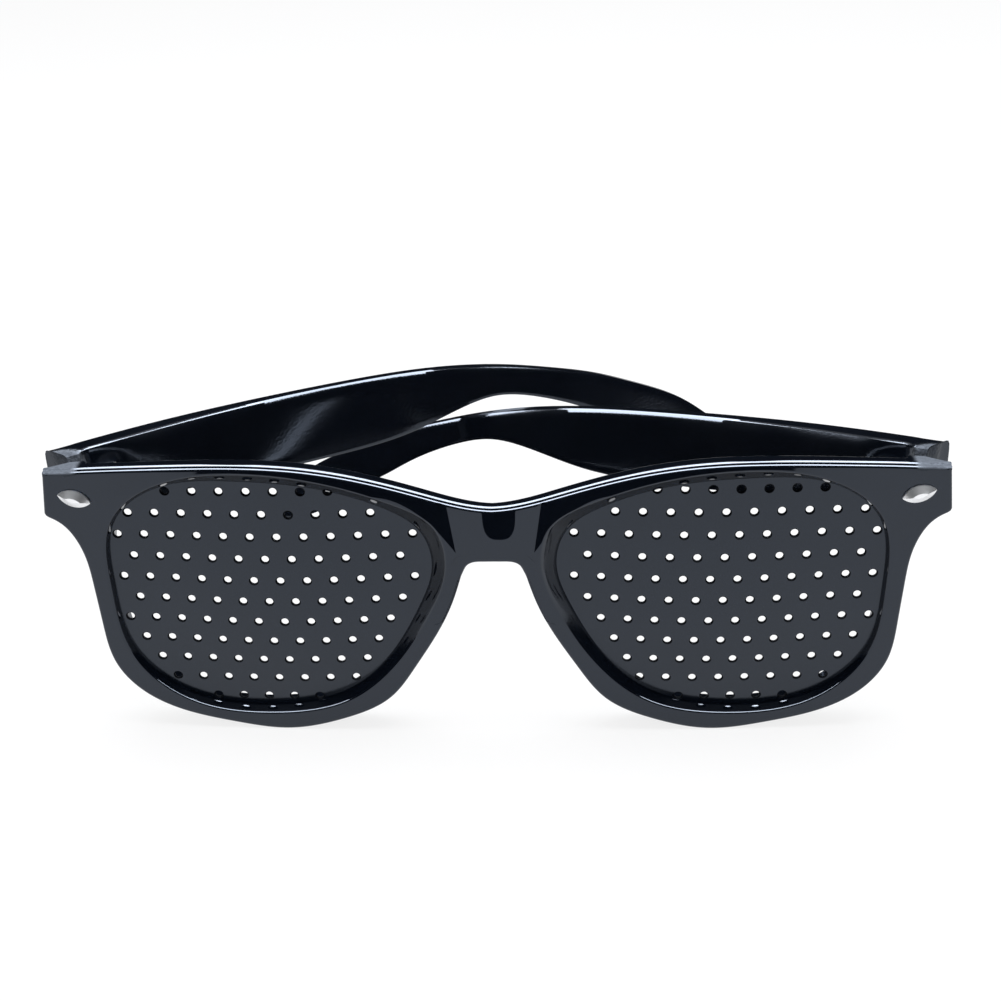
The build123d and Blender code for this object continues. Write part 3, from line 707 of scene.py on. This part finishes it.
def make_plate(side, name):
    """Dome of one plate: rings of the outline shrunk to its middle, on the levelled dome in front and on
    the same surface moved back behind, merged at both middles and cut by rods at the pinholes."""
    groove = lens_outline(np.full(len(lens_shares), groove_depth), plate_edges)
    edge = groove - (lens_middle_x, lens_centre_z)
    share = np.linspace(0, 1, plate_rings)[:, None, None]
    flat = edge[None] * share + (lens_middle_x, lens_centre_z)
    before = with_y(flat, plate_y(flat[..., 0], flat[..., 1]))
    behind = before + (0, plate_look_thickness, 0)
    points = np.concatenate([before, behind[::-1]]) * (side, 1, 1)
    faces = grid_faces(len(points), plate_edges, wrap=True)
    plate = make_piece(name, points, faces, "front", [name.replace("plate", "lens_plate")])
    places, walls, caps = make_rods(holes * (side, 1), hole_profile)
    rod_mesh = bpy.data.meshes.new(name + "_rods")
    rod_mesh.from_pydata(((places + offset) * MM).tolist(), [], walls.tolist() + caps.tolist())
    work = bmesh.new()
    work.from_mesh(rod_mesh)
    bmesh.ops.recalc_face_normals(work, faces=work.faces)
    work.to_mesh(rod_mesh)
    work.free()
    # Faces cut by the rods take the second material, darker and nearly unreflecting: painted shade in the holes
    for mesh in (plate.data, rod_mesh):
        mesh.materials.append(plate_look)
        mesh.materials.append(pinhole_shade_look)
    rod_mesh.polygons.foreach_set("material_index", np.ones(len(rod_mesh.polygons), np.int32))
    rods = new_object(name + "_rods", rod_mesh)
    cut = plate.modifiers.new("pinholes", "BOOLEAN")
    cut.object = rods
    cut.solver = "EXACT"
    bpy.context.view_layer.update()
    cut_mesh = bpy.data.meshes.new_from_object(plate.evaluated_get(bpy.context.evaluated_depsgraph_get()))
    plate.modifiers.clear()
    plate.data = cut_mesh
    bpy.data.objects.remove(rods)
    cut_mesh.polygons.foreach_set("use_smooth", np.ones(len(cut_mesh.polygons), bool))
    cut_mesh.set_sharp_from_angle(angle=plate_sharp)
    print(name, "cut to", len(cut_mesh.polygons), "faces")


for side, name in ((-1, "left_plate"), (1, "right_plate")):
    make_plate(side, name)

# %% [markdown]
# ## The temples
# A real temple is a deep blade with a thick root, a thin neck and a hook for the ear. It is a tube with a
# rounded oblong section: the section's top and bottom follow the temple's two edges seen from the side,
# and its width follows the faces seen from above. The tube is drawn with the temple open, and then turned
# about the hinge to the angle that the stored model has.

# %% Sizes of the temples
hinge = np.array([66.3, 7.2, 42.0])
hinge_lean = math.radians(1.2)
temple_length, temple_height, temple_top_z = 142.0, 13.6, 48.4
temple_root_thickness, temple_root_length, temple_thickness = 4.8, 2.6, 2.1
temple_outer_offset, temple_face_offset, temple_bow = 3.0, 1.0, 1.0
joint_gap, root_reach, root_step_run, tip_clearance = 0.35, 4.0, 0.6, 0.12
neck_shift, shift_rises, shift_falls = 4.5, (20.0, 75.0), (122.0, temple_length)
drop_rises, drop_falls = (45.0, 85.0), (95.0, 130.0)
left_droop, left_fold, left_neck_drop = 2.2, 54.0, 1.0
right_droop, right_fold, right_neck_drop = 4.6, 60.0, 0.2
station_count, lead_count, section_count, bow_count, corner_power = 200, 6, 48, 300, 8
top_edge_shares = np.array([
    (0.0, 0.0), (0.175, 0.035), (0.35, -0.03), (0.49, -0.19), (0.595, -0.42), (0.665, -0.63), (0.735, -0.87),
    (0.805, -1.18), (0.895, -1.63), (0.965, -2.0),
])
under_edge_shares = np.array([
    (0.0, -0.78), (0.17, -0.93), (0.35, -1.03), (0.435, -0.965), (0.505, -0.79), (0.56, -0.72), (0.615, -0.84),
    (0.66, -1.02), (0.705, -1.25), (0.76, -1.58), (0.83, -1.97), (0.94, -2.49),
])
bow_shares = np.array([(0.0, 0.0), (0.08, 0.15), (0.25, 0.6), (0.5, 1.0), (0.75, 0.55), (1.0, -0.6)])
swell_shares = np.array([1.0, 0.9, 0.2, 0.0, 0.0, -0.05])
tip_share = (1.0, -2.44)


# %% Section of the temples
def rounded_oblong(count):
    """Unit section with tight corners, once round: the superellipse |a|^n + |b|^n = 1, n the power."""
    turn = np.linspace(0, 2 * np.pi, count, endpoint=False) + np.pi / count
    c, s = np.cos(turn), np.sin(turn)
    size = (np.abs(c)**corner_power + np.abs(s)**corner_power) ** (-1 / corner_power)
    return c * size, s * size


def neck_moved(points):
    """Side-view points with the neck moved along towards the tip, and the root and the tip kept."""
    s = points[:, 0]
    moved = s + neck_shift * smooth_step(s, *shift_rises) * (1 - smooth_step(s, *shift_falls))
    return np.column_stack([moved, points[:, 1]])


def make_temple(side, droop, fold, neck_drop, name, body):
    """Tube from the root to the tip: at each station the section spans from the under edge to the top edge
    and from the inner face to the outer face. Both edges bend round to meet upright at the tip."""
    size = (temple_length, temple_height)
    top_points = neck_moved(np.vstack([top_edge_shares, tip_share]) * size)
    under_points = neck_moved(np.vstack([under_edge_shares, tip_share]) * size)
    under_s = under_points[:, 0]
    in_neck = smooth_step(under_s, *drop_rises) * (1 - smooth_step(under_s, *drop_falls))
    under_points[:, 1] -= neck_drop * in_neck
    top = smooth_curve(top_points, station_count, end=(0, -1))
    under = smooth_curve(under_points, station_count, end=(0, 1))
    # A few more stations carry the root straight on, into the mitre
    lead = np.linspace(-root_reach, 0, lead_count, endpoint=False)
    top = np.vstack([np.column_stack([lead, np.full(lead_count, top[0, 1])]), top])
    under = np.vstack([np.column_stack([lead, np.full(lead_count, under[0, 1])]), under])
    along_bow = smooth_curve(bow_shares * (temple_length, temple_bow), bow_count)
    swell = smooth_curve(np.column_stack([bow_shares[:, 0] * temple_length, swell_shares]), bow_count)
    middle_s = (top[:, 0] + under[:, 0]) / 2
    bow = np.interp(middle_s, along_bow[:, 0], along_bow[:, 1])
    extra = np.interp(middle_s, swell[:, 0], swell[:, 1]) * (temple_root_thickness - temple_outer_offset)
    outer_face = bow + temple_outer_offset + extra
    step = np.clip((middle_s - temple_root_length) / root_step_run, 0, 1)
    inner_face = (bow + temple_outer_offset - temple_thickness) * step
    a, b = rounded_oblong(section_count)
    centre = (top + under) / 2
    half = (top - under) / 2
    half_thick = ((outer_face - inner_face) / 2)[:, None]
    mid_thick = ((outer_face + inner_face) / 2)[:, None]
    s = centre[:, :1] + half[:, :1] * b[None]
    h = centre[:, 1:] + half[:, 1:] * b[None]
    out = mid_thick + half_thick * a[None]
    tilt = math.radians(droop)
    face_x = hinge[0] + temple_face_offset
    x = side * (face_x + out)
    y = front_back_y + s * math.cos(tilt) + h * math.sin(tilt)
    z = temple_top_z - s * math.sin(tilt) + h * math.cos(tilt)
    # The root stops at the mitre, a short gap behind the end piece
    past_face = np.maximum(np.abs(x) - face_x, 0)
    y = np.maximum(y, front_back_y + joint_gap - past_face * (2 * mitre_rise / mitre_run))
    points = np.stack([x, y, z], axis=-1)
    butt = points[:1].mean(axis=1, keepdims=True)
    points = np.concatenate([np.broadcast_to(butt, (1, section_count, 3)), points])
    points = swing(points, side, fold)
    points[..., 2] = np.maximum(points[..., 2], tip_clearance)
    faces = grid_faces(len(points), section_count, wrap=True)
    return make_piece(name, points, faces, body, [name.replace("_blade", "")])


def swing(points, side, fold):
    """Points turned about the hinge pin by the fold angle, inwards: Rodrigues' formula, p cos + (k x p) sin
    + k (k . p)(1 - cos)."""
    pin = np.array([-math.sin(hinge_lean), 0.0, math.cos(hinge_lean)])
    angle = side * math.radians(fold)
    centre = hinge * (side, 1, 1)
    arm = points - centre
    return centre + (
        arm * math.cos(angle) + np.cross(np.broadcast_to(pin, arm.shape), arm) * math.sin(angle)
        + (arm @ pin)[..., None] * pin * (1 - math.cos(angle))
    )


temples = [
    make_temple(-1, left_droop, left_fold, left_neck_drop, "left_temple_blade", "left_temple"),
    make_temple(1, right_droop, right_fold, right_neck_drop, "right_temple_blade", "right_temple"),
]

# %% [markdown]
# The front and the temples store a few numbers at their points. They tell the material where it is scuffed,
# which points lie on the front's face, and how far a temple's normal leans. That lean starts clear of the
# root and then swells and ebbs slowly with the distance from the hinge.

# %% Give the materials to the pieces
face_tolerance, scuff_run = 0.02, 1.5
end_top_x, end_top_z = 65.0, 47.9
scuff_x, scuff_y, scuff_reach = 69.0, 5.5, 3.0
lean_x, lean_y, lean_starts, lean_full, lean_wave = 67.0, 6.0, 4.0, 12.0, 11.0
lean_waves = ((0.82, 0.16), (1.25, 0.1))  # middle and size of the wave, left and then right

places = point_places(front)
reach = np.abs(places[:, 0])
on_face = np.abs(places[:, 1] - face_y(reach)) < face_tolerance
end_top = np.clip((reach - end_top_x) / scuff_run, 0, 1) * (places[:, 2] > end_top_z) * (places[:, 1] > 0.0)
attribute(front, "face", on_face)
attribute(front, "scuff", end_top)
front.data.materials.append(front_look)
for side, temple, (wave_middle, wave_size) in zip((-1, 1), temples, lean_waves):
    temple.data.materials.append(temple_look)
    places = point_places(temple)
    from_root = np.linalg.norm(places - (side * scuff_x, scuff_y, temple_top_z), axis=1)
    attribute(temple, "scuff", np.clip(1.0 - (from_root - scuff_reach) / scuff_run, 0, 1))
    from_hinge = np.linalg.norm(places[:, :2] - (side * lean_x, lean_y), axis=1)
    clear_of_root = smooth_step(from_hinge, lean_starts, lean_full)
    attribute(temple, "lean", clear_of_root * (wave_middle + wave_size * np.sin(from_hinge / lean_wave)))
looks = {"stud": stud_look, "leaf": hinge_look, "screw": hinge_look}
for name, node in nodes.items():
    node.data.materials.clear()
    node.data.materials.append(next((look for word, look in looks.items() if word in name), core_look))

# %% [markdown]
# ## Floor, light and surroundings
# The table is a white floor. Part of its white is its own glow, which only camera, glossy and transmission
# rays see: the background turns white, and the shadow under the glasses stays.

# %% Floor
floor_reach, floor_glow, glow_share = 3, 1.08, 0.75

floor_mesh = bpy.data.meshes.new("floor")
corners = [(x * floor_reach, y * floor_reach, 0) for x, y in ((-1, -1), (1, -1), (1, 1), (-1, 1))]
floor_mesh.from_pydata(corners, [], [(0, 1, 2, 3)])
floor = new_object("floor", floor_mesh)
white = bpy.data.materials.new("white_floor")
white.use_nodes = True
tree = white.node_tree
shader = tree.nodes["Principled BSDF"]
shader.inputs["Base Color"].default_value = (0.86, 0.86, 0.87, 1.0)
shader.inputs["Roughness"].default_value = 0.9
shader.inputs["Specular IOR Level"].default_value = 0.0
glow = add(tree, "Emission", {"Color": (1, 1, 1, 1), "Strength": floor_glow})
path = add(tree, "LightPath")
seen = path.outputs["Is Camera Ray"]
for kind in ("Is Glossy Ray", "Is Transmission Ray"):
    seen = calc(tree, "MAXIMUM", seen, path.outputs[kind])
share = calc(tree, "MULTIPLY", seen, glow_share)
mix = add(tree, "MixShader", {0: share, 1: shader.outputs[0], 2: glow.outputs[0]})
tree.links.new(mix.outputs[0], tree.nodes["Material Output"].inputs[0])
floor_mesh.materials.append(white)

# %% [markdown]
# Black plastic shows what it mirrors. A ring of dark wall stands round the table and is seen only in
# reflections, where it gives the front and the temples their black zones.

# %% Dark walls that only reflections see
wall_radius, wall_top, wall_points = 2.0, 2.0, 64


def dark_walls(radius, low, high):
    """Open ring of wall round the object, from one height to another, seen by glossy rays only."""
    turn = np.linspace(0, 2 * np.pi, wall_points, endpoint=False)
    ring = np.stack([np.cos(turn) * radius, np.sin(turn) * radius], axis=-1)
    points = np.concatenate([np.column_stack([ring, np.full(wall_points, z)]) for z in (low, high)])
    mesh = bpy.data.meshes.new("dark_walls")
    mesh.from_pydata(points.tolist(), [], grid_faces(2, wall_points, wrap=True).tolist())
    walls = new_object("dark_walls", mesh)
    walls.visible_camera = walls.visible_diffuse = walls.visible_transmission = walls.visible_shadow = False
    black = bpy.data.materials.new("dark_cloth")
    black.use_nodes = True
    cloth = black.node_tree.nodes["Principled BSDF"].inputs
    cloth["Base Color"].default_value = (0.01, 0.01, 0.012, 1)
    cloth["Roughness"].default_value = 1.0
    mesh.materials.append(black)


dark_walls(wall_radius, 0.0, wall_top)

# %% [markdown]
# A softbox and the white world light the table. A long strip is left out of that light and is seen only in
# reflections, for the bright lines on the plastic.

# %% Lamps
lamp_colour, sky_strength = (0.96, 0.98, 1.0), 0.5
softbox_place, softbox_size, softbox_power = (0.0, 0.05, 0.75), (0.7, 0.5), 5.0
strip_place, strip_size, strip_power = (0.0, 0.05, 0.74), (2.0, 0.6), 80.0


def area_light(name, place, target, size, power):
    """Rectangular lamp that looks from its place at a target."""
    data = bpy.data.lights.new(name, "AREA")
    data.shape = "RECTANGLE"
    data.size, data.size_y = size
    data.energy, data.color = power, lamp_colour
    light = new_object(name, data)
    light.location = place
    light.rotation_euler = (Vector(target) - Vector(place)).to_track_quat("-Z", "Y").to_euler()
    return light


area_light("softbox_above", softbox_place, (0, 0, 0), softbox_size, softbox_power)
strip = area_light("strip_above", strip_place, (*strip_place[:2], 0), strip_size, strip_power)
strip.visible_diffuse = strip.visible_camera = False
world = bpy.data.worlds.new("studio")
bpy.context.scene.world = world
world.use_nodes = True
world.node_tree.nodes["Background"].inputs["Color"].default_value = (1, 1, 1, 1)
world.node_tree.nodes["Background"].inputs["Strength"].default_value = sky_strength
bpy.context.scene.view_settings.view_transform = "Standard"
